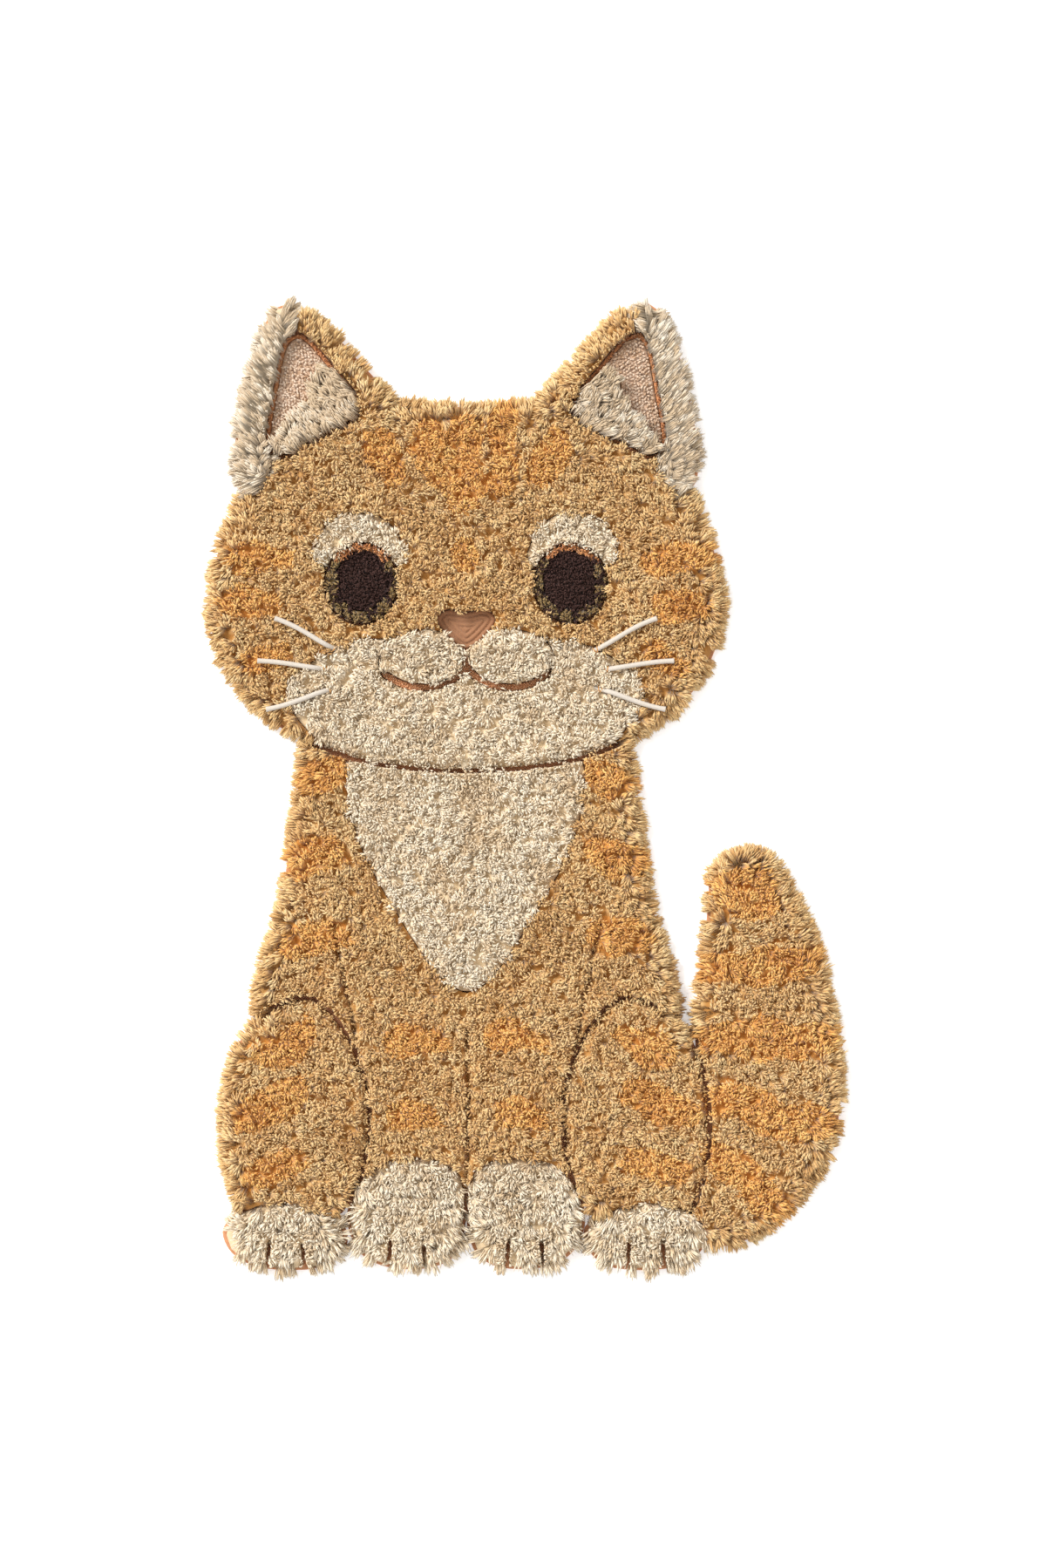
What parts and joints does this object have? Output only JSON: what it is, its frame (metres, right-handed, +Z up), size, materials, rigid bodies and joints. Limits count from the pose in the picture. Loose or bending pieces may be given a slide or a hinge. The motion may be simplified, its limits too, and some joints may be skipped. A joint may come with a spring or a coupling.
{
  "type": "kitten-shaped area rug",
  "caption": "Washable tufted cotton area rug in the outline of a sitting tabby kitten, with shag pile, carved lines, low lined ears and cord whiskers, lying flat.",
  "frame": {"origin": "on the floor, under the middle of the rug's box as seen from above", "axes": "+Z up off the floor, +Y towards the kitten's ears, +X to the right as seen from above"},
  "size_m": [0.6704, 1.0202, 0.0294],
  "materials": {
    "ground_cloth": "matte cotton canvas",
    "tan_shag": "matte cotton shag with ginger bars",
    "cream_shag": "matte cotton shag",
    "pink_pile": "matte low cotton pile",
    "rust_loops": "matte low cotton loops",
    "dark_velour": "matte dense cut pile",
    "olive_pile": "matte cotton pile",
    "brown_ribs": "matte chain-stitched cotton ribs",
    "whisker_cord": "matte cotton piping cord"
  },
  "bodies": {
    "root": {"ground_cloth": "ground_cloth", "head": "tan_shag", "trunk": "tan_shag", "tail": "tan_shag", "haunch_left": "tan_shag", "haunch_right": "tan_shag", "muzzle": "cream_shag", "bib": "cream_shag", "brow_left": "cream_shag", "brow_right": "cream_shag", "muzzle_puff_left": "cream_shag", "muzzle_puff_right": "cream_shag", "ear_tuft_left": "cream_shag", "ear_tuft_right": "cream_shag", "ear_rim_left": "cream_shag", "ear_rim_right": "cream_shag", "forepaw_left": "cream_shag", "forepaw_right": "cream_shag", "hindpaw_left": "cream_shag", "hindpaw_right": "cream_shag", "ear_lining_left": "pink_pile", "ear_lining_right": "pink_pile", "mouth_line": "rust_loops", "ear_line_left": "rust_loops", "ear_line_right": "rust_loops", "eye_left": "dark_velour", "eye_right": "dark_velour", "eye_ring_left": "olive_pile", "eye_ring_right": "olive_pile", "nose": "brown_ribs", "whisker_upper_left": "whisker_cord", "whisker_upper_right": "whisker_cord", "whisker_middle_left": "whisker_cord", "whisker_middle_right": "whisker_cord", "whisker_lower_left": "whisker_cord", "whisker_lower_right": "whisker_cord"}
  },
  "joints": []
}
